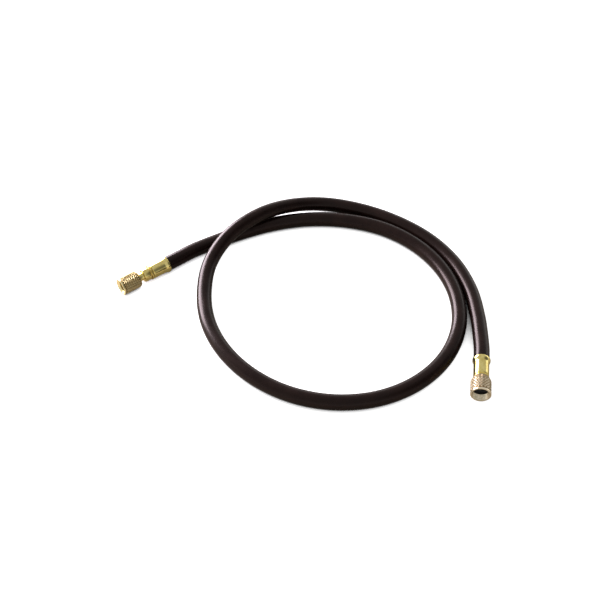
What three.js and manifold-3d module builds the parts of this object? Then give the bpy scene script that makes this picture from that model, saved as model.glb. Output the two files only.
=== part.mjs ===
// A refrigerant charging hose, lying in one open loop on a level floor: a thick rubber hose with a crimped
// brass ferrule, a hose stem and a knurled swivel flare nut at each end. Millimetres, +Z up, floor at z = 0.
// The origin is under the middle of the hose's outline, with +X along its longest side.
import * as THREE from "three";
import { mergeVertices } from "three/addons/utils/BufferGeometryUtils.js";
import Module from "manifold-3d";

const wasm = await Module();
wasm.setup();

// Hose
const hoseDiameter = 13.3;
const boreDiameter = 6.4;
const hoseSides = 12;
const hoseSteps = 64;
const hoseRadius = hoseDiameter / 2;
const boreRadius = boreDiameter / 2;

// Clearances
const seatGap = 0.3; // between two pieces that are crimped or pressed together
const runningGap = 0.35; // around a piece that turns or slides in another

// Crimped ends
const ferruleWall = 0.55;
const ferruleLip = 0.9; // thickness of the ferrule's inturned end
const ferruleCorner = 0.8; // rounding of that end
const hoseInsert = 2.0; // how far the full-size hose reaches into the bell
const squeezeStart = 0.5; // how much further in the hose starts to narrow
const skinDepth = 0.35; // the narrowed end joins the hose this far under its skin
const boreMargin = 0.1; // and this far outside its bore
const crimpTaper = 2.4; // length over which the bell narrows to the waist
const barbLength = 3.0; // one barb on the stem's tail
const barbHeight = 0.4;
const edgeBreak = 0.4; // small chamfer on turned edges
const turnedSides = 36;

// The two fittings. Lengths run along the fitting's axis from the open end of the ferrule's bell, outwards.
// exit is that end's place on the floor plan, and heading the way from there to the nut's mouth, in degrees.
const left = {
  side: "left",
  exit: [-118.8, 38.65],
  heading: 217.4,
  straightReach: [12, 28], // the hose runs straight behind the bell, through points this far back on the axis
  ferruleLength: 17.3,
  bellLength: 2.2,
  waistDiameter: 13.1,
  flangeDiameter: 13.5,
  flangeLength: 1.5,
  collarDiameter: 12.0,
  collarLength: 6.9,
  neckDiameter: 7.2,
  headDiameter: 9.8,
  headLength: 2.6,
  passageDiameter: 3.6,
  nutSetback: 3.6, // bare neck between the collar and the nut, with the nut drawn forward as it lies
  nutTravel: 3.0, // how far the nut slides back from there
  restsForward: true,
  nutDiameter: 15.6,
  nutLength: 18.8,
  nutBackDiameter: 11.2,
  shoulderLength: 2.0,
  backWall: 2.2,
  threadMinor: 9.9, // 7/16-20 UNF inside thread, for 1/4 in flare
  threadRelief: 11.3,
  threadDepth: 8.4,
  mouthDiameter: 13.4,
  gasketLength: 1.6,
};

const right = {
  side: "right",
  exit: [152.8, -75.55],
  heading: 262.5,
  straightReach: [6],
  ferruleLength: 18.5,
  bellLength: 2.2,
  waistDiameter: 13.0,
  flangeDiameter: 12.9,
  flangeLength: 1.1,
  collarDiameter: 0,
  collarLength: 0,
  neckDiameter: 8.0,
  headDiameter: 11.8,
  headLength: 1.8,
  passageDiameter: 4.4,
  nutSetback: 0, // the nut is pushed back against the flange as it lies
  nutTravel: 3.2, // how far the nut slides forward from there
  restsForward: false,
  nutDiameter: 17.4,
  nutLength: 17.1,
  nutBackDiameter: 13.0,
  shoulderLength: 3.6,
  backWall: 2.4,
  threadMinor: 14.4, // 5/8-18 UNF inside thread, for 3/8 in flare
  threadRelief: 15.6,
  threadDepth: 7.0,
  mouthDiameter: 15.0,
  gasketLength: 1.6,
};

// The hose's centre line between its straight ends: x, y and how far it is lifted above lying on the floor.
// It passes under its own crossing near the left end, goes once round clockwise, climbs over the crossing
// in one long low hump, and lies beside the first strand on its way to the right end.
const routePoints = [
  [-79.2, 67.15, 0.2], [-58.1, 78.85, 0], [-24.7, 92.65, 0], [10.7, 99.45, 0], [46.9, 97.15, 0],
  [80.8, 85.55, 0], [109.2, 63.45, 0], [129.5, 33.35, 0], [139.3, -0.95, 0], [137.8, -37.25, 0],
  [123.8, -70.95, 0], [99.1, -97.55, 0], [66.9, -114.05, 0], [30.7, -118.45, 0], [-4.9, -110.75, 0],
  [-35.9, -92.65, 0], [-60.7, -66.05, 0.1], [-76.8, -33.95, 0.3], [-83, 1.45, 0.8], [-79.2, 37.05, 5],
  [-62.3, 66.25, 12], [-35.3, 90.75, 14.2], [-6.7, 110.05, 8], [26.4, 118.45, 2], [60.9, 111.35, 0.2],
  [92.9, 94.65, 0.1], [120.4, 71.45, 0], [141, 41.05, 0], [152.2, 7.15, 0.1], [155.2, -24.25, 0.8],
  [155.1, -45.25, 1.6], [154.3, -62.75, 2],
];

// A solid from a closed three.js geometry, and back.
function solidOf(geometry) {
  const bare = geometry.clone();
  bare.deleteAttribute("normal");
  bare.deleteAttribute("uv");
  const merged = mergeVertices(bare, 1e-4);
  const mesh = new wasm.Mesh({
    numProp: 3,
    vertProperties: new Float32Array(merged.attributes.position.array),
    triVerts: new Uint32Array(merged.index.array),
  });
  return new wasm.Manifold(mesh);
}

function geometryOf(solid) {
  const mesh = solid.getMesh();
  const geometry = new THREE.BufferGeometry();
  geometry.setAttribute("position", new THREE.BufferAttribute(mesh.vertProperties, 3));
  geometry.setIndex(new THREE.BufferAttribute(mesh.triVerts, 1));
  geometry.computeVertexNormals();
  return geometry;
}

// A ring turned about the fitting's axis, local +Y, from a closed outline of [radius, distance along it].
function turned(outline, sides = turnedSides) {
  const corners = outline.map(([radius, along]) => new THREE.Vector2(radius, along));
  if (THREE.ShapeUtils.area(corners) < 0) corners.reverse();
  return new THREE.LatheGeometry([...corners, corners[0]], sides);
}

// Where the pieces of a fitting begin and end along its axis, worked out from its own sizes.
function stations(fitting) {
  const flangeStart = fitting.ferruleLength + seatGap;
  const collarStart = flangeStart + fitting.flangeLength;
  const neckStart = collarStart + fitting.collarLength;
  const nutBack = neckStart + seatGap + fitting.nutSetback;
  const seatBack = nutBack + fitting.backWall;
  const forwardTravel = fitting.restsForward ? 0 : fitting.nutTravel;
  const backwardTravel = fitting.nutTravel - forwardTravel;
  const headStart = seatBack + forwardTravel + seatGap;
  const headEnd = headStart + fitting.headLength;
  const gasketStart = headEnd + backwardTravel + seatGap;
  const gasketEnd = gasketStart + fitting.gasketLength;
  const nutMouth = nutBack + fitting.nutLength;
  return {
    flangeStart, collarStart, neckStart, nutBack, seatBack,
    headStart, headEnd, gasketStart, gasketEnd, nutMouth,
  };
}

// Pressed brass cup: an open bell, a crimped waist, and an inturned lip round the stem.
function ferruleGeometry(fitting) {
  const bell = hoseRadius + seatGap + ferruleWall;
  const waist = fitting.waistDiameter / 2;
  const length = fitting.ferruleLength;
  const lipHole = boreRadius + seatGap;
  const taperEnd = fitting.bellLength + crimpTaper;
  return turned([
    [bell - edgeBreak / 2, 0],
    [bell, edgeBreak],
    [bell, fitting.bellLength],
    [waist, taperEnd],
    [waist, length - ferruleCorner],
    [waist - ferruleCorner / 3, length - ferruleCorner / 3],
    [waist - ferruleCorner, length],
    [lipHole, length],
    [lipHole, length - ferruleLip],
    [waist - ferruleWall, length - ferruleLip],
    [waist - ferruleWall, taperEnd],
    [bell - ferruleWall, fitting.bellLength],
    [bell - ferruleWall, 0],
  ]);
}

// Turned brass stem: barbed tail in the hose, flange and collar outside the ferrule, neck, and the head that
// keeps the nut on.
function stemGeometry(fitting) {
  const at = stations(fitting);
  const passage = fitting.passageDiameter / 2;
  const tail = boreRadius - seatGap;
  const flange = fitting.flangeDiameter / 2;
  const collar = fitting.collarDiameter / 2;
  const neck = fitting.neckDiameter / 2;
  const head = fitting.headDiameter / 2;
  const barbStart = hoseInsert + crimpTaper;
  const outline = [[passage, hoseInsert], [tail - barbHeight, hoseInsert]];
  for (let along = barbStart; along + barbLength < fitting.ferruleLength - ferruleLip; along += barbLength) {
    outline.push(
      [tail - barbHeight, along],
      [tail, along + barbLength - edgeBreak],
      [tail, along + barbLength],
    );
  }
  outline.push(
    [tail, fitting.ferruleLength - ferruleLip],
    [tail, at.flangeStart],
    [flange - edgeBreak, at.flangeStart],
    [flange, at.flangeStart + edgeBreak],
    [flange, at.collarStart - edgeBreak],
    [flange - edgeBreak, at.collarStart],
  );
  if (fitting.collarLength > 0) {
    outline.push(
      [collar, at.collarStart],
      [collar, at.neckStart - 2 * edgeBreak],
      [collar - 2 * edgeBreak, at.neckStart],
    );
  }
  outline.push(
    [neck, at.neckStart],
    [neck, at.headStart],
    [head, at.headStart],
    [head, at.headEnd - edgeBreak],
    [head - edgeBreak, at.headEnd],
    [passage, at.headEnd],
  );
  return turned(outline);
}

// Loose rubber washer that the nut carries in the relief behind its thread.
function gasketGeometry(fitting) {
  const at = stations(fitting);
  const outer = fitting.threadRelief / 2 - runningGap;
  const inner = fitting.passageDiameter / 2 + seatGap;
  return turned([
    [inner, at.gasketStart],
    [outer, at.gasketStart],
    [outer, at.gasketEnd],
    [inner, at.gasketEnd],
  ]);
}

// Swivel nut: back wall running on the stem's neck, room for the head and gasket, thread, and a flared mouth.
function nutGeometry(fitting) {
  const at = stations(fitting);
  const outer = fitting.nutDiameter / 2;
  const back = fitting.nutBackDiameter / 2;
  const neckHole = fitting.neckDiameter / 2 + runningGap;
  const thread = fitting.threadMinor / 2;
  const relief = fitting.threadRelief / 2;
  const mouth = fitting.mouthDiameter / 2;
  const threadStart = at.nutMouth - fitting.threadDepth;
  return turned([
    [neckHole, at.nutBack],
    [back, at.nutBack],
    [(back + 2 * outer) / 3, at.nutBack + fitting.shoulderLength / 2],
    [outer, at.nutBack + fitting.shoulderLength],
    [outer, at.nutMouth - edgeBreak],
    [outer - edgeBreak, at.nutMouth],
    [mouth, at.nutMouth],
    [thread, at.nutMouth - (mouth - thread)],
    [thread, threadStart],
    [relief, threadStart],
    [relief, at.seatBack],
    [neckHole, at.seatBack],
  ]);
}

// A fitting's own frame: local +Y runs out along its axis, and the nut's rim touches the floor.
function fittingFrame(fitting) {
  const frame = new THREE.Group();
  frame.position.set(fitting.exit[0], fitting.exit[1], fitting.nutDiameter / 2);
  frame.rotation.z = THREE.MathUtils.degToRad(fitting.heading - 90);
  frame.updateMatrix();
  return frame;
}

// A point on a fitting's axis.
function onAxis(fitting, along) {
  return new THREE.Vector3(0, along, 0).applyMatrix4(fittingFrame(fitting).matrix);
}

// The hose: one tube along its route, with each end squeezed in its ferrule, and its bore open right through.
function hoseGeometry() {
  const lying = routePoints.map(([x, y, lift]) => new THREE.Vector3(x, y, hoseRadius + lift));
  const route = [
    onAxis(left, hoseInsert),
    ...left.straightReach.map((reach) => onAxis(left, -reach)),
    ...lying,
    ...[...right.straightReach].reverse().map((reach) => onAxis(right, -reach)),
    onAxis(right, hoseInsert),
  ];
  const ring = (radius) => {
    const corners = [];
    for (let i = 0; i < hoseSides; i++) {
      const angle = (2 * Math.PI * i) / hoseSides;
      corners.push(new THREE.Vector2(radius * Math.cos(angle), radius * Math.sin(angle)));
    }
    return corners;
  };
  const section = new THREE.Shape(ring(hoseRadius));
  section.holes.push(new THREE.Path(ring(boreRadius)));
  const tube = new THREE.ExtrudeGeometry(section, {
    steps: hoseSteps,
    extrudePath: new THREE.CatmullRomCurve3(route, false, "centripetal"),
    bevelEnabled: false,
  });
  let hose = solidOf(tube);
  for (const fitting of [left, right]) {
    const squeezed = fitting.waistDiameter / 2 - ferruleWall - seatGap;
    const start = hoseInsert / 2;
    const inner = boreRadius + boreMargin;
    const outer = hoseRadius - skinDepth;
    const end = turned([
      [inner, start],
      [outer, start],
      [outer, hoseInsert + squeezeStart],
      [squeezed, fitting.bellLength + crimpTaper],
      [squeezed, fitting.ferruleLength - ferruleLip - seatGap],
      [inner, fitting.ferruleLength - ferruleLip - seatGap],
    ], 2 * hoseSides);
    hose = hose.add(solidOf(end.applyMatrix4(fittingFrame(fitting).matrix)));
  }
  return geometryOf(hose);
}

const rubber = new THREE.MeshStandardMaterial({ color: 0x2b2226, roughness: 0.45, metalness: 0 });
const yellowBrass = new THREE.MeshStandardMaterial({ color: 0xc9ae5a, roughness: 0.22, metalness: 1 });
const paleBrass = new THREE.MeshStandardMaterial({ color: 0xd0bd8e, roughness: 0.35, metalness: 1 });
const gasketRubber = new THREE.MeshStandardMaterial({ color: 0x1b1a1a, roughness: 0.7, metalness: 0 });

const part = new THREE.Group();

function addPiece(parent, name, geometry, material) {
  const piece = new THREE.Mesh(geometry, material);
  piece.name = name;
  parent.add(piece);
}

addPiece(part, "hose", hoseGeometry(), rubber);
for (const fitting of [left, right]) {
  const frame = fittingFrame(fitting);
  addPiece(frame, fitting.side + "_ferrule", ferruleGeometry(fitting), yellowBrass);
  addPiece(frame, fitting.side + "_stem", stemGeometry(fitting), yellowBrass);
  addPiece(frame, fitting.side + "_gasket", gasketGeometry(fitting), gasketRubber);
  addPiece(frame, fitting.side + "_nut", nutGeometry(fitting), paleBrass);
  part.add(frame);
}

export default part;
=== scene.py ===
import math

import bmesh
import bpy
from mathutils import Matrix, Vector


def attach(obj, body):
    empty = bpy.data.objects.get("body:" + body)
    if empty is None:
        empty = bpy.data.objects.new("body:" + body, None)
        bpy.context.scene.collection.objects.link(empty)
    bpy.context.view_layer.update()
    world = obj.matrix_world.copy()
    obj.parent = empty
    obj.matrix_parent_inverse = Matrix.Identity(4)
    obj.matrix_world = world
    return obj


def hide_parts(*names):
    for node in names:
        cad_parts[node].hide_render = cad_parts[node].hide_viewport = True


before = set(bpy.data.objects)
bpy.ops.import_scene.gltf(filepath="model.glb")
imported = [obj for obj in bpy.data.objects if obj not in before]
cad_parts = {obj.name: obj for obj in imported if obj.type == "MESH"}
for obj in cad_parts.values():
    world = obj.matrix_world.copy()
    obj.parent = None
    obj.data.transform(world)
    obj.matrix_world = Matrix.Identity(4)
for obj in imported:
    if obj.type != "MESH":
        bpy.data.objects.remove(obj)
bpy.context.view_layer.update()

bpy.ops.object.select_all(action="DESELECT")

MM = 0.001

# Sizes in millimetres, the same as in the part's source. Lengths on a fitting run along its axis from the
# open end of the ferrule's bell, outwards to the nut's mouth.
HOSE_RADIUS = 6.65
BORE_RADIUS = 3.2
HOSE_INSERT = 2.0  # the hose keeps its full size this far into the bell
CRIMP_END = 4.6  # and is squeezed to the waist from here on
SEAT_GAP = 0.3
RUNNING_GAP = 0.35
FERRULE_WALL = 0.55
FERRULE_LIP = 0.9
BELL_RADIUS = HOSE_RADIUS + SEAT_GAP + FERRULE_WALL

LEFT = {
    "side": "left", "exit": (-118.8, 38.65), "heading": 217.4, "straight_reach": (12, 28),
    "ferrule_length": 17.3, "waist": 6.55, "flange": 6.75, "flange_start": 17.6, "collar": 6.0,
    "collar_start": 19.1, "neck": 3.6, "neck_start": 26.0, "head": 4.9, "head_start": 32.4,
    "head_end": 35.0, "passage": 1.8, "gasket_start": 38.3, "gasket_end": 39.9, "nut": 7.8,
    "nut_back_radius": 5.6, "nut_back": 29.9, "shoulder": 2.0, "seat_back": 32.1, "thread_start": 40.3,
    "thread_minor": 4.95, "thread_relief": 5.65, "thread_pitch": 1.27, "mouth_radius": 6.7,
    "mouth": 48.7, "knurl_start": 1.9, "knurls": 24, "knurl_rows": 7,
}
RIGHT = {
    "side": "right", "exit": (152.8, -75.55), "heading": 262.5, "straight_reach": (6,),
    "ferrule_length": 18.5, "waist": 6.5, "flange": 6.45, "flange_start": 18.8, "collar": 0,
    "collar_start": 19.9, "neck": 4.0, "neck_start": 19.9, "head": 5.9, "head_start": 26.1,
    "head_end": 27.9, "passage": 2.2, "gasket_start": 28.2, "gasket_end": 29.8, "nut": 8.7,
    "nut_back_radius": 6.5, "nut_back": 20.2, "shoulder": 3.6, "seat_back": 22.6, "thread_start": 30.3,
    "thread_minor": 7.2, "thread_relief": 7.8, "thread_pitch": 1.411, "mouth_radius": 7.5,
    "mouth": 37.3, "knurl_start": 0.9, "knurls": 20, "knurl_rows": 5,
}

# The hose's centre line between its straight ends, in metres: across, away, and its lift above lying flat.
ROUTE = [
    (-0.0792, 0.06715, 0.0002), (-0.0581, 0.07885, 0.0), (-0.0247, 0.09265, 0.0), (0.0107, 0.09945, 0.0),
    (0.0469, 0.09715, 0.0), (0.0808, 0.08555, 0.0), (0.1092, 0.06345, 0.0), (0.1295, 0.03335, 0.0),
    (0.1393, -0.00095, 0.0), (0.1378, -0.03725, 0.0), (0.1238, -0.07095, 0.0), (0.0991, -0.09755, 0.0),
    (0.0669, -0.11405, 0.0), (0.0307, -0.11845, 0.0), (-0.0049, -0.11075, 0.0), (-0.0359, -0.09265, 0.0),
    (-0.0607, -0.06605, 0.0001), (-0.0768, -0.03395, 0.0003), (-0.0830, 0.00145, 0.0008),
    (-0.0792, 0.03705, 0.0050), (-0.0623, 0.06625, 0.0120), (-0.0353, 0.09075, 0.0142),
    (-0.0067, 0.11005, 0.0080), (0.0264, 0.11845, 0.0020), (0.0609, 0.11135, 0.0002),
    (0.0929, 0.09465, 0.0001), (0.1204, 0.07145, 0.0), (0.1410, 0.04105, 0.0), (0.1522, 0.00715, 0.0001),
    (0.1552, -0.02425, 0.0008), (0.1551, -0.04525, 0.0016), (0.1543, -0.06275, 0.0020),
]
STEPS_PER_POINT = 18
HOSE_SIDES = 48
HOSE_END_REACH = 6.4  # the open edge of the hose's end lies within this of the axis
BORE_SEEN = 6  # how deep the bore goes in from the hose's ends


def axis_of(fitting):
    heading = math.radians(fitting["heading"])
    return Vector((math.cos(heading), math.sin(heading), 0))


def on_axis(fitting, along):
    """A point on the fitting's axis, in metres. The nut's rim lies on the floor, which sets its height."""
    return Vector((*fitting["exit"], fitting["nut"])) * MM + axis_of(fitting) * along * MM


def standing(fitting):
    """Turns a piece made upright in millimetres into its place: +Z becomes the fitting's axis, +Y is up."""
    out, up = axis_of(fitting), Vector((0, 0, 1))
    turn = Matrix((up.cross(out), up, out)).transposed()
    return Matrix.Translation(on_axis(fitting, 0)) @ turn.to_4x4() @ Matrix.Scale(MM, 4)


# Camera: three quarters from above, as the photograph looks at the hose.
def make_camera():
    data = bpy.data.cameras.new("camera")
    data.lens = 62.84
    data.sensor_width = 36
    data.clip_start = 0.01
    camera = bpy.data.objects.new("camera", data)
    bpy.context.scene.collection.objects.link(camera)
    target = Vector((0.0051, -0.01015, 0.00665))
    elevation = math.radians(47)
    distance = 0.929
    camera.location = target + distance * Vector((0, -math.cos(elevation), math.sin(elevation)))
    camera.rotation_euler = (math.pi / 2 - elevation, 0, 0)
    bpy.context.scene.camera = camera


make_camera()


# Hose
def through(points, steps):
    """A smooth centripetal curve through the points."""
    line = []
    for i in range(len(points) - 1):
        p1, p2 = points[i], points[i + 1]
        p0 = points[i - 1] if i > 0 else 2 * p1 - p2
        p3 = points[i + 2] if i + 2 < len(points) else 2 * p2 - p1
        a, b, c = ((q - p).length ** 0.5 for p, q in ((p0, p1), (p1, p2), (p2, p3)))
        start = ((p1 - p0) / a - (p2 - p0) / (a + b) + (p2 - p1) / b) * b
        end = ((p2 - p1) / b - (p3 - p1) / (b + c) + (p3 - p2) / c) * b
        for k in range(steps):
            t = k / steps
            cubic = (2 * p1 - 2 * p2 + start + end) * t ** 3
            line.append(cubic + (3 * p2 - 3 * p1 - 2 * start - end) * t ** 2 + start * t + p1)
    line.append(points[-1])
    return line


def hose_line():
    lying = [Vector((x, y, HOSE_RADIUS * MM + lift)) for x, y, lift in ROUTE]
    route = [on_axis(LEFT, HOSE_INSERT)]
    route += [on_axis(LEFT, -reach) for reach in LEFT["straight_reach"]] + lying
    route += [on_axis(RIGHT, -reach) for reach in reversed(RIGHT["straight_reach"])]
    route.append(on_axis(RIGHT, HOSE_INSERT))
    return through(route, STEPS_PER_POINT)


def make_hose():
    """One tube along the route, with its ends squeezed in the ferrules. Its attribute keeps the place round
    the hose and along it in millimetres, for the marks that the extruder leaves."""
    line = hose_line()
    stations = []
    for fitting in (LEFT, RIGHT):
        squeezed = fitting["waist"] - FERRULE_WALL - SEAT_GAP
        end = fitting["ferrule_length"] - FERRULE_LIP - SEAT_GAP
        ring = [(HOSE_INSERT + 1.2, HOSE_RADIUS - 0.3), (CRIMP_END, squeezed), (end, squeezed)]
        stations.append([(on_axis(fitting, along), radius) for along, radius in ring])
    rings = stations[0][::-1] + [(p, HOSE_RADIUS) for p in line] + stations[1]
    centres = [p for p, _ in rings]
    travelled = [0.0]
    for p, q in zip(centres, centres[1:]):
        travelled.append(travelled[-1] + (q - p).length / MM)
    vertices, places = [], []
    for i, (centre, radius) in enumerate(rings):
        ahead = (centres[min(i + 1, len(rings) - 1)] - centres[max(i - 1, 0)]).normalized()
        inwards = ahead.cross(Vector((0, 0, 1))).normalized()
        up = inwards.cross(ahead)
        for k in range(HOSE_SIDES):
            angle = 2 * math.pi * k / HOSE_SIDES
            x, y = math.sin(angle), math.cos(angle)
            vertices.append(centre + (inwards * x + up * y) * radius * MM)
            places.append((x * HOSE_RADIUS, y * HOSE_RADIUS, travelled[i]))
    faces = []
    for i in range(len(rings) - 1):
        for k in range(HOSE_SIDES):
            a, b = i * HOSE_SIDES + k, i * HOSE_SIDES + (k + 1) % HOSE_SIDES
            faces.append((a, a + HOSE_SIDES, b + HOSE_SIDES, b))
    mesh = bpy.data.meshes.new("hose_cover")
    mesh.from_pydata(vertices, [], faces)
    place = mesh.attributes.new("hose_place", "FLOAT_VECTOR", "POINT")
    place.data.foreach_set("vector", [value for p in places for value in p])
    hose = bpy.data.objects.new("hose_cover", mesh)
    bpy.context.scene.collection.objects.link(hose)
    close_hose_ends(hose)
    return hose, centres


def select_in_edit(piece, kind, test):
    """In edit mode, selects what passes the test and nothing else. kind is VERT, EDGE or FACE."""
    bpy.ops.mesh.select_mode(type=kind)
    bpy.ops.mesh.select_all(action="DESELECT")
    shape = bmesh.from_edit_mesh(piece.data)
    for element in {"VERT": shape.verts, "EDGE": shape.edges, "FACE": shape.faces}[kind]:
        if test(element):
            element.select_set(True)
    shape.select_flush_mode()
    bmesh.update_edit_mesh(piece.data)


def open_for_edit(piece):
    bpy.ops.object.select_all(action="DESELECT")
    bpy.context.view_layer.objects.active = piece
    piece.select_set(True)
    bpy.ops.object.mode_set(mode="EDIT")


def close_edit(smooth_angle):
    bpy.ops.object.mode_set(mode="OBJECT")
    bpy.ops.object.shade_smooth_by_angle(angle=math.radians(smooth_angle))


def close_hose_ends(hose):
    """Each end is faced off inside its ferrule, and the bore starts there."""
    open_for_edit(hose)
    for fitting in (LEFT, RIGHT):
        end = on_axis(fitting, fitting["ferrule_length"] - FERRULE_LIP - SEAT_GAP)
        select_in_edit(hose, "EDGE", lambda e: all(
            (v.co - end).length < HOSE_END_REACH * MM and v.is_boundary for v in e.verts))
        bpy.ops.mesh.extrude_region_move()
        squeezed = fitting["waist"] - FERRULE_WALL - SEAT_GAP
        inner = BORE_RADIUS / squeezed
        bpy.ops.transform.resize(value=(inner, inner, inner), center_override=end)
        bpy.ops.mesh.extrude_region_move(TRANSFORM_OT_translate={"value": -BORE_SEEN * MM * axis_of(fitting)})
        bpy.ops.mesh.edge_face_add()
    bpy.ops.mesh.select_all(action="SELECT")
    bpy.ops.mesh.normals_make_consistent(inside=False)
    close_edit(40)


hose, hose_path = make_hose()
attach(hose, "hose_body")
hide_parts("hose")


# Turned pieces
def turned(name, outline, sides=96):
    """A ring extruded and scaled along a closed outline of (radius, along) corners in millimetres."""
    radius, along = outline[0]
    bpy.ops.mesh.primitive_circle_add(vertices=sides, radius=radius, location=(0, 0, along))
    piece = bpy.context.object
    piece.name = piece.data.name = name
    bpy.ops.object.transform_apply(location=True, rotation=True, scale=True)
    bpy.ops.object.mode_set(mode="EDIT")
    bpy.ops.mesh.select_mode(type="VERT")
    bpy.ops.mesh.select_all(action="SELECT")
    for next_radius, next_along in outline[1:] + outline[:1]:
        bpy.ops.mesh.extrude_region_move(TRANSFORM_OT_translate={"value": (0, 0, next_along - along)})
        grow = next_radius / radius
        bpy.ops.transform.resize(value=(grow, grow, 1), center_override=(0, 0, next_along))
        radius, along = next_radius, next_along
    bpy.ops.mesh.select_all(action="SELECT")
    bpy.ops.mesh.remove_doubles(threshold=0.002)
    bpy.ops.mesh.normals_make_consistent(inside=False)
    bpy.ops.object.mode_set(mode="OBJECT")
    return piece


def round_edges(piece, width, angle=28):
    bevel = piece.modifiers.new("broken edges", "BEVEL")
    bevel.width = width
    bevel.segments = 2
    bevel.limit_method = "ANGLE"
    bevel.angle_limit = math.radians(angle)
    bpy.context.view_layer.objects.active = piece
    bpy.ops.object.modifier_apply(modifier=bevel.name)


def seat(piece, fitting, body, node, smooth_angle=32):
    """Keeps each point's place on the lathe for the material, and puts the piece where its node is."""
    place = piece.data.attributes.new("lathe_place", "FLOAT_VECTOR", "POINT")
    place.data.foreach_set("vector", [value for v in piece.data.vertices for value in v.co])
    bpy.ops.object.select_all(action="DESELECT")
    piece.select_set(True)
    bpy.context.view_layer.objects.active = piece
    piece.matrix_world = standing(fitting)
    bpy.ops.object.transform_apply(location=True, rotation=True, scale=True)
    bpy.ops.object.shade_smooth_by_angle(angle=math.radians(smooth_angle))
    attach(piece, body)
    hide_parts(node)
    return piece


def eased(start, end, share):
    return start + (end - start) * (0.5 - 0.5 * math.cos(math.pi * share))


def make_ferrule(fitting):
    """Pressed brass cup: a rolled bell over the hose, a crimped waist, and a rounded end round the stem."""
    waist, length = fitting["waist"], fitting["ferrule_length"]
    bell_end, taper_end, corner = 1.5, 4.8, 1.2
    share = [i / 8 for i in range(9)]
    outer = [(BELL_RADIUS - 0.32, 0), (BELL_RADIUS - 0.1, 0.12), (BELL_RADIUS, 0.42)]
    taper = [(eased(BELL_RADIUS, waist, s), bell_end + (taper_end - bell_end) * s) for s in share]
    outer += taper
    turn = [math.radians(15 * i) for i in range(7)]
    outer += [(waist - corner + corner * math.cos(t), length - corner + corner * math.sin(t)) for t in turn]
    hole = BORE_RADIUS + SEAT_GAP
    inner = [(hole, length), (hole, length - FERRULE_LIP), (waist - FERRULE_WALL, length - FERRULE_LIP)]
    inner += [(radius - FERRULE_WALL, along) for radius, along in reversed(taper)]
    inner.append((BELL_RADIUS - FERRULE_WALL, 0.15))
    ferrule = turned(fitting["side"] + "_ferrule_shell", outer + inner)
    round_edges(ferrule, 0.08)
    return seat(ferrule, fitting, "hose_body", fitting["side"] + "_ferrule")


def make_stem(fitting):
    """Turned brass stem: flange, collar with its groove, neck, and the head that keeps the nut on."""
    passage, tail = fitting["passage"], BORE_RADIUS - SEAT_GAP
    flange, collar, neck, head = (fitting[key] for key in ("flange", "collar", "neck", "head"))
    flange_start, collar_start = fitting["flange_start"], fitting["collar_start"]
    neck_start = fitting["neck_start"]
    outline = [(passage, HOSE_INSERT), (tail - 0.4, HOSE_INSERT)]
    barb = CRIMP_END - 1.3
    while barb + 3 < fitting["ferrule_length"] - FERRULE_LIP:
        outline += [(tail - 0.4, barb), (tail, barb + 2.6), (tail, barb + 3)]
        barb += 3
    outline += [
        (tail, flange_start), (flange - 0.25, flange_start), (flange, flange_start + 0.22),
        (flange, collar_start - 0.22), (flange - 0.25, collar_start),
    ]
    if collar:
        outline += [
            (collar - 0.75, collar_start), (collar - 0.75, collar_start + 0.55),
            (collar - 0.2, collar_start + 0.55),
            (collar, collar_start + 0.75), (collar, neck_start - 0.8), (collar - 0.25, neck_start - 0.3),
            (collar - 0.75, neck_start),
        ]
    outline += [
        (neck + 0.4, neck_start), (neck + 0.12, neck_start + 0.12), (neck, neck_start + 0.4),
        (neck, fitting["head_start"]), (head, fitting["head_start"]), (head, fitting["head_end"] - 0.45),
        (head - 0.5, fitting["head_end"]), (passage + 0.3, fitting["head_end"]),
        (passage, fitting["head_end"] - 0.3),
    ]
    stem = turned(fitting["side"] + "_hose_stem", outline)
    round_edges(stem, 0.1)
    return seat(stem, fitting, "hose_body", fitting["side"] + "_stem")


def make_gasket(fitting):
    """Moulded rubber washer, with rounded edges and a shallow sealing groove in its face."""
    inner, outer = fitting["passage"] + SEAT_GAP, fitting["thread_relief"] - RUNNING_GAP
    start, end = fitting["gasket_start"], fitting["gasket_end"]
    middle = (inner + outer) / 2
    outline = [
        (inner, start), (outer, start), (outer, end), (middle + 0.5, end), (middle + 0.25, end - 0.25),
        (middle - 0.25, end - 0.25), (middle - 0.5, end), (inner, end),
    ]
    gasket = turned(fitting["side"] + "_seal_washer", outline, 64)
    round_edges(gasket, 0.18, 50)
    side = fitting["side"]
    return seat(gasket, fitting, side + "_gasket_body", side + "_gasket", 40)


KNURL_DEPTH = 0.5  # the knurls are drawn about half as coarse again as they are, so that they show
LIP_BAND = 1.5  # plain turned band at the nut's mouth
LIP_GROOVE = 0.45  # and the groove between it and the knurling


def shoulder_radius(fitting, along):
    """The nut's outside at a distance from its back: a rounded shoulder, then straight."""
    share = min(1, along / fitting["shoulder"])
    back = fitting["nut_back_radius"]
    return back + (fitting["nut"] - back) * (1 - (1 - share) ** 1.6)


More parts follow.
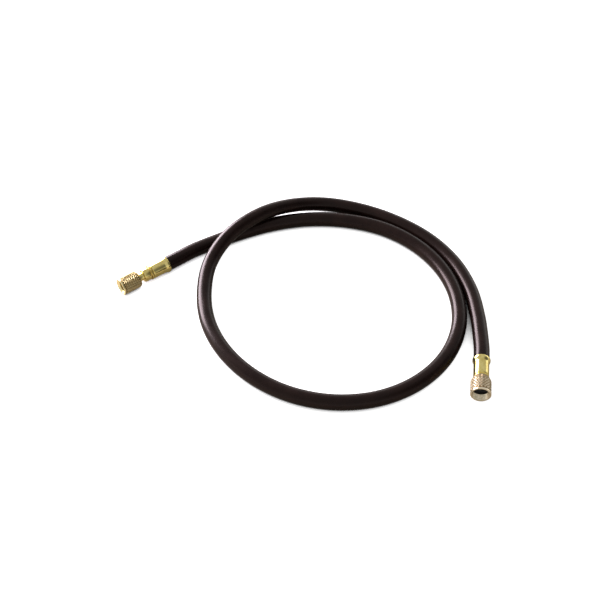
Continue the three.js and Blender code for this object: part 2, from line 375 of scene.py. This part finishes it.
def make_nut(fitting):
    """Swivel nut: a rounded shoulder, raised diamonds, a plain lip band behind a groove, and a thread."""
    outer, back, mouth = fitting["nut"], fitting["nut_back"], fitting["mouth"]
    hole = fitting["neck"] + RUNNING_GAP
    knurl_start = back + fitting["knurl_start"]
    knurl_end = mouth - LIP_BAND - LIP_GROOVE
    rows = fitting["knurl_rows"]
    row = (knurl_end - knurl_start) / rows
    back_radius = fitting["nut_back_radius"]
    outline = [(hole + 0.2, back), (back_radius - 0.3, back), (back_radius, back + 0.15)]
    lead = [0.35, 0.6, 0.85, 1]
    outline += [
        (shoulder_radius(fitting, fitting["knurl_start"] * s) - KNURL_DEPTH * max(0, s - 0.6) * 2.5,
         back + fitting["knurl_start"] * s)
        for s in lead
    ]
    for i in range(1, rows + 1):
        along = knurl_start + row * i
        outline.append((shoulder_radius(fitting, along - back) - KNURL_DEPTH, along))
    groove, band = outer - KNURL_DEPTH - 0.25, mouth - LIP_BAND
    outline += [
        (groove, knurl_end + 0.12), (groove, band - 0.05), (outer - 0.25, band), (outer, band + 0.25),
        (outer, mouth - 0.3), (outer - 0.3, mouth), (fitting["mouth_radius"], mouth),
    ]
    minor, relief = fitting["thread_minor"], fitting["thread_relief"]
    pitch = fitting["thread_pitch"]
    along = mouth - (fitting["mouth_radius"] - minor)
    outline.append((minor, along))
    while along - pitch > fitting["thread_start"]:
        outline += [
            (minor, along - 0.12), (relief, along - pitch / 2), (relief, along - pitch / 2 - 0.12),
            (minor, along - pitch),
        ]
        along -= pitch
    outline += [
        (minor, fitting["thread_start"]), (relief, fitting["thread_start"]), (relief, fitting["seat_back"]),
        (hole, fitting["seat_back"]), (hole, back + 0.2),
    ]
    nut = turned(fitting["side"] + "_swivel_nut", outline, fitting["knurls"])
    knurl(nut, knurl_start, knurl_end)
    side = fitting["side"]
    return seat(nut, fitting, side + "_nut_body", side + "_nut", 30)


def knurl(nut, start, end):
    """Cuts the band between two stations into diamonds and raises each one to a blunt point."""
    open_for_edit(nut)

    def on_band(face):
        middle = face.calc_center_median()
        faces_out = middle.x * face.normal.x + middle.y * face.normal.y > 0
        return start < middle.z < end and faces_out and abs(face.normal.z) < 0.9

    select_in_edit(nut, "FACE", on_band)
    shape = bmesh.from_edit_mesh(nut.data)
    square_edges = shape.edges.layers.int.new("square")
    for edge in shape.edges:
        if len(edge.link_faces) == 2 and all(face.select for face in edge.link_faces):
            edge[square_edges] = 1
    bmesh.update_edit_mesh(nut.data)
    bpy.ops.mesh.poke()
    shape = bmesh.from_edit_mesh(nut.data)
    marked = shape.edges.layers.int["square"]
    select_in_edit(nut, "EDGE", lambda e: e[marked] == 1)
    bpy.ops.mesh.dissolve_edges(use_verts=False)
    select_in_edit(nut, "FACE", lambda f: on_band(f) and len(f.verts) == 4)
    bpy.ops.mesh.inset(thickness=0.62, depth=KNURL_DEPTH, use_individual=True)
    bpy.ops.object.mode_set(mode="OBJECT")


fittings = {}
for fitting in (LEFT, RIGHT):
    side = fitting["side"]
    fittings[side] = {
        "ferrule": make_ferrule(fitting),
        "stem": make_stem(fitting),
        "gasket": make_gasket(fitting),
        "nut": make_nut(fitting),
    }


# Materials
def linear(hex_colour):
    """An sRGB hex colour as the linear colour that the shaders take."""
    parts = [int(hex_colour[i:i + 2], 16) / 255 for i in (1, 3, 5)]
    return (*(c / 12.92 if c <= 0.04045 else ((c + 0.055) / 1.055) ** 2.4 for c in parts), 1)


def add(tree, kind, inputs=None, **settings):
    """Adds a node with its settings. An input is a number or colour, or another node's output to link."""
    node = tree.nodes.new(kind)
    for name, value in settings.items():
        setattr(node, name, value)
    for name, value in (inputs or {}).items():
        if isinstance(value, bpy.types.NodeSocket):
            tree.links.new(value, node.inputs[name])
        else:
            node.inputs[name].default_value = value
    return node


def blank_material(name):
    material = bpy.data.materials.new(name)
    material.use_nodes = True
    tree = material.node_tree
    return material, tree, tree.nodes["Principled BSDF"]


def mixed(tree, factor, first, second):
    """Two colours mixed by a factor socket."""
    node = add(tree, "ShaderNodeMix", {"Factor": factor}, data_type="RGBA")
    for index, value in ((6, first), (7, second)):
        if isinstance(value, bpy.types.NodeSocket):
            tree.links.new(value, node.inputs[index])
        else:
            node.inputs[index].default_value = value
    return node.outputs[2]


def noise(tree, place, scale, detail, **more):
    inputs = {"Vector": place, "Scale": scale, "Detail": detail, **more}
    return add(tree, "ShaderNodeTexNoise", inputs).outputs[0]


def ranged(tree, value, low, high, to_low, to_high):
    node = add(tree, "ShaderNodeMapRange", {
        "Value": value, "From Min": low, "From Max": high, "To Min": to_low, "To Max": to_high,
    })
    return node.outputs[0]


def calc(tree, operation, *values):
    node = add(tree, "ShaderNodeMath", {i: v for i, v in enumerate(values)}, operation=operation)
    return node.outputs[0]


def extruded_rubber():
    """Extruded synthetic rubber cover: almost black with a brown cast, satin, with fine die streaks."""
    material, tree, shader = blank_material("extruded_rubber_cover")
    place = add(tree, "ShaderNodeAttribute", attribute_name="hose_place").outputs["Vector"]
    along_streaks = add(tree, "ShaderNodeMapping", {"Vector": place, "Scale": (1, 1, 0.02)}).outputs[0]
    # Die streaks are 0.2 to 0.5 mm apart and tens of millimetres long.
    streaks = noise(tree, along_streaks, 2.6, 4.0)
    # Grain of the cured rubber, about 0.15 mm, drawn at 0.4 mm so that it shows.
    grain = noise(tree, place, 2.5, 5.0, Roughness=0.65)
    handling = noise(tree, place, 0.09, 3.0)
    body = mixed(tree, ranged(tree, handling, 0.35, 0.65, 0, 1), linear("#130a08"), linear("#1a0e0b"))
    streaked = mixed(tree, ranged(tree, streaks, 0.5, 0.8, 0, 0.35), body, linear("#251814"))
    tree.links.new(streaked, shader.inputs["Base Color"])
    smeared = ranged(tree, handling, 0.3, 0.7, 0.22, 0.3)
    gloss = calc(tree, "ADD", smeared, ranged(tree, grain, 0.3, 0.7, -0.03, 0.05))
    tree.links.new(gloss, shader.inputs["Roughness"])
    relief = calc(tree, "ADD", calc(tree, "MULTIPLY", streaks, 0.6), calc(tree, "MULTIPLY", grain, 0.4))
    bump = add(tree, "ShaderNodeBump", {"Height": relief, "Strength": 0.25, "Distance": 0.00006})
    tree.links.new(bump.outputs[0], shader.inputs["Normal"])
    shader.inputs["IOR"].default_value = 1.52
    shader.inputs["Specular IOR Level"].default_value = 0.2
    shader.inputs["Specular Tint"].default_value = linear("#fde6e0")
    return material


def lathe_coordinates(tree):
    """The place on the lathe, the distance along it plus the radius, and the radius, all in millimetres."""
    place = add(tree, "ShaderNodeAttribute", attribute_name="lathe_place").outputs["Vector"]
    split = add(tree, "ShaderNodeSeparateXYZ", {"Vector": place})
    flat = add(tree, "ShaderNodeCombineXYZ", {"X": split.outputs[0], "Y": split.outputs[1]}).outputs[0]
    radius = add(tree, "ShaderNodeVectorMath", {0: flat}, operation="LENGTH").outputs["Value"]
    return place, calc(tree, "ADD", split.outputs[2], radius), radius


def turned_brass(name, bright, dull, rough_low, rough_high, ring_strength):
    """Free-cutting brass off the lathe: tool rings, a thin tarnish in patches and small handling marks."""
    material, tree, shader = blank_material(name)
    place, run, _ = lathe_coordinates(tree)
    # Tool rings are 0.08 mm apart on the real part, drawn at 0.25 mm so that they show.
    ring_place = add(tree, "ShaderNodeCombineXYZ", {"X": run}).outputs[0]
    rings = noise(tree, ring_place, 4.0, 3.0)
    tarnish = noise(tree, place, 0.35, 5.0, Roughness=0.6)
    marks = noise(tree, place, 3.0, 3.0, Distortion=1.5)
    colour = mixed(tree, ranged(tree, tarnish, 0.4, 0.72, 0, 1), linear(bright), linear(dull))
    tree.links.new(colour, shader.inputs["Base Color"])
    dulled = ranged(tree, tarnish, 0.3, 0.75, rough_low, rough_high)
    gloss = calc(tree, "ADD", dulled, ranged(tree, marks, 0.55, 0.75, 0, 0.08))
    tree.links.new(gloss, shader.inputs["Roughness"])
    relief = calc(tree, "ADD", rings, calc(tree, "MULTIPLY", marks, 0.5))
    bump = add(tree, "ShaderNodeBump", {"Height": relief, "Strength": ring_strength, "Distance": 0.00005})
    tree.links.new(bump.outputs[0], shader.inputs["Normal"])
    shader.inputs["Metallic"].default_value = 1.0
    return material


def knurled_brass(name, fitting, bright, dull):
    """Pale satin brass, with the knurl's valleys coloured darker and made rougher than its blunt tops."""
    material, tree, shader = blank_material(name)
    place, run, radius = lathe_coordinates(tree)
    outer = fitting["nut"]
    ring_place = add(tree, "ShaderNodeCombineXYZ", {"X": run}).outputs[0]
    rings = noise(tree, ring_place, 4.0, 3.0)
    tarnish = noise(tree, place, 0.3, 5.0, Roughness=0.6)
    grit = noise(tree, place, 5.0, 3.0)
    skin = mixed(tree, ranged(tree, tarnish, 0.38, 0.7, 0, 1), linear(bright), linear(dull))
    along = add(tree, "ShaderNodeSeparateXYZ", {"Vector": place}).outputs[2]
    # How far a point is below the nut's outside, which is rounded at the shoulder. The thread is left out.
    to_back = ranged(tree, along, fitting["nut_back"], fitting["nut_back"] + fitting["shoulder"], 1, 0)
    fall = calc(tree, "MULTIPLY", calc(tree, "POWER", to_back, 1.6), outer - fitting["nut_back_radius"])
    depth = calc(tree, "SUBTRACT", calc(tree, "SUBTRACT", outer, fall), radius)
    outside = calc(tree, "MULTIPLY", ranged(tree, depth, 0.78, 0.86, 1, 0),
                   ranged(tree, along, fitting["mouth"] - LIP_BAND - 0.02, fitting["mouth"] - LIP_BAND, 1, 0))
    valley = calc(tree, "MULTIPLY", ranged(tree, depth, 0.05, KNURL_DEPTH, 0, 1), outside)
    # The knurl's valleys are coloured a darker brown than the skin.
    valley_darkened = mixed(tree, calc(tree, "MULTIPLY", valley, 0.9), skin, linear("#775a2e"))
    tree.links.new(valley_darkened, shader.inputs["Base Color"])
    gloss = calc(tree, "ADD", ranged(tree, valley, 0, 1, 0.24, 0.42), ranged(tree, grit, 0.4, 0.7, 0, 0.06))
    tree.links.new(gloss, shader.inputs["Roughness"])
    relief = calc(tree, "ADD", rings, calc(tree, "MULTIPLY", grit, 0.6))
    bump = add(tree, "ShaderNodeBump", {"Height": relief, "Strength": 0.25, "Distance": 0.00005})
    tree.links.new(bump.outputs[0], shader.inputs["Normal"])
    shader.inputs["Metallic"].default_value = 1.0
    return material


def moulded_rubber():
    """Moulded nitrile rubber: black, matt, with a fine mould grain and a little pale bloom."""
    material, tree, shader = blank_material("moulded_rubber")
    place, _, _ = lathe_coordinates(tree)
    grain = noise(tree, place, 4.0, 4.0)
    bloom = noise(tree, place, 0.6, 2.0)
    colour = mixed(tree, ranged(tree, bloom, 0.45, 0.7, 0, 0.5), linear("#161515"), linear("#2a2827"))
    tree.links.new(colour, shader.inputs["Base Color"])
    tree.links.new(ranged(tree, grain, 0.3, 0.7, 0.5, 0.72), shader.inputs["Roughness"])
    bump = add(tree, "ShaderNodeBump", {"Height": grain, "Strength": 0.4, "Distance": 0.00005})
    tree.links.new(bump.outputs[0], shader.inputs["Normal"])
    return material


def dress(piece, material):
    piece.data.materials.clear()
    piece.data.materials.append(material)


dress(hose, extruded_rubber())
polished = turned_brass("polished_ferrule_brass", "#f3e294", "#d8bf68", 0.12, 0.2, 0.08)
machined = turned_brass("machined_stem_brass", "#f0dd8e", "#d4ba68", 0.16, 0.26, 0.2)
washer_rubber = moulded_rubber()
for fitting, bright, dull in ((LEFT, "#f8e9b4", "#ead79c"), (RIGHT, "#f8ebcf", "#ead9b6")):
    made = fittings[fitting["side"]]
    dress(made["ferrule"], polished)
    dress(made["stem"], machined)
    dress(made["gasket"], washer_rubber)
    dress(made["nut"], knurled_brass(fitting["side"] + "_knurled_pale_brass", fitting, bright, dull))


# Floor and light
CONTACT_REACH = 0.012  # how far round a point the floor looks for what shades it


def make_floor():
    """A plain white floor. The camera sees it lifted, so that its soft shadows stay faint, but for the thin
    lines where a piece touches it: there ambient occlusion darkens its colour and its lift, a painted contact
    shadow. The brass mirrors it a little darker and warmer, a painted shade in the floor's reflection."""
    bpy.ops.mesh.primitive_plane_add(size=6, location=(0, 0, -0.00005))
    floor = bpy.context.object
    floor.name = "floor"
    material, tree, shader = blank_material("plain_pale_floor")
    way_of_light = add(tree, "ShaderNodeLightPath")
    open_sky = add(tree, "ShaderNodeAmbientOcclusion", {"Distance": CONTACT_REACH}, samples=12).outputs["AO"]
    # Painted contact shadow: where ambient occlusion finds a piece close by, the floor's colour is painted
    # dark brown.
    painted_contact_shadow_mask = ranged(tree, open_sky, 0.12, 0.42, 0.0, 1.0)
    mirrored = way_of_light.outputs["Is Glossy Ray"]
    # Painted reflection shade: rays that the brass and hose mirror see the floor painted darker and warmer
    # than the camera sees it.
    pale = mixed(tree, mirrored, linear("#ececec"), linear("#cfc6b8"))
    tree.links.new(mixed(tree, painted_contact_shadow_mask, linear("#2a2725"), pale), shader.inputs["Base Color"])
    shader.inputs["Roughness"].default_value = 0.9
    shader.inputs["Specular IOR Level"].default_value = 0.0
    shader.inputs["Emission Color"].default_value = (1, 1, 1, 1)
    # The camera's lift is cut by the same painted contact shadow.
    lift = calc(tree, "MULTIPLY", way_of_light.outputs["Is Camera Ray"], 0.9)
    tree.links.new(calc(tree, "MULTIPLY", lift, painted_contact_shadow_mask), shader.inputs["Emission Strength"])
    dress(floor, material)


def soft_light(name, place, target, size, power, colour):
    data = bpy.data.lights.new(name, "AREA")
    data.shape = "RECTANGLE"
    data.size, data.size_y = size
    data.energy = power
    data.color = colour
    light = bpy.data.objects.new(name, data)
    bpy.context.scene.collection.objects.link(light)
    light.location = place
    light.rotation_euler = (Vector(target) - Vector(place)).to_track_quat("-Z", "Y").to_euler()
    light.visible_camera = False
    return light


def make_room():
    """A white backdrop, and round it a room that only lights and mirrors in the piece: a bright horizon,
    brightest behind, a wide glow at the back left, a dimmer ceiling, and dusk on the right."""
    world = bpy.data.worlds.new("studio")
    bpy.context.scene.world = world
    world.use_nodes = True
    tree = world.node_tree
    tree.nodes.clear()
    way = add(tree, "ShaderNodeTexCoord").outputs["Generated"]
    split = add(tree, "ShaderNodeSeparateXYZ", {"Vector": way})
    horizon = ranged(tree, split.outputs[2], 0.1, 0.5, 1.0, 0.0)
    behind = ranged(tree, split.outputs[1], -0.7, 0.9, 0.35, 1.9)
    towards = add(tree, "ShaderNodeVectorMath", {0: way, 1: (-0.75, 0.62, 0.22)}, operation="DOT_PRODUCT")
    left_glow = ranged(tree, towards.outputs["Value"], 0.8, 0.94, 0.0, 1.0)
    to_right = add(tree, "ShaderNodeVectorMath", {0: way, 1: (0.852, -0.213, 0.479)}, operation="DOT_PRODUCT")
    right_dusk = ranged(tree, to_right.outputs["Value"], 0.72, 0.95, 1.0, 0.22)
    room = calc(tree, "ADD", calc(tree, "MULTIPLY", horizon, behind), calc(tree, "ADD", left_glow, 0.7))
    bright = calc(tree, "MULTIPLY", room, right_dusk)
    glow = add(tree, "ShaderNodeBackground", {"Strength": bright})
    backdrop = add(tree, "ShaderNodeBackground", {"Color": (1, 1, 1, 1), "Strength": 1.0})
    seen = add(tree, "ShaderNodeLightPath").outputs["Is Camera Ray"]
    both = add(tree, "ShaderNodeMixShader", {0: seen, 1: glow.outputs[0], 2: backdrop.outputs[0]})
    add(tree, "ShaderNodeOutputWorld", {"Surface": both.outputs[0]})


def make_light():
    make_room()
    soft_light("left_softbox", (-0.66, 0.60, 0.28), (-0.08, 0, 0.05), (0.8, 0.55), 26, (0.98, 0.9, 1.0))
    # White stays white and black stays black, as in the photograph.
    bpy.context.scene.view_settings.view_transform = "Standard"


make_floor()
make_light()
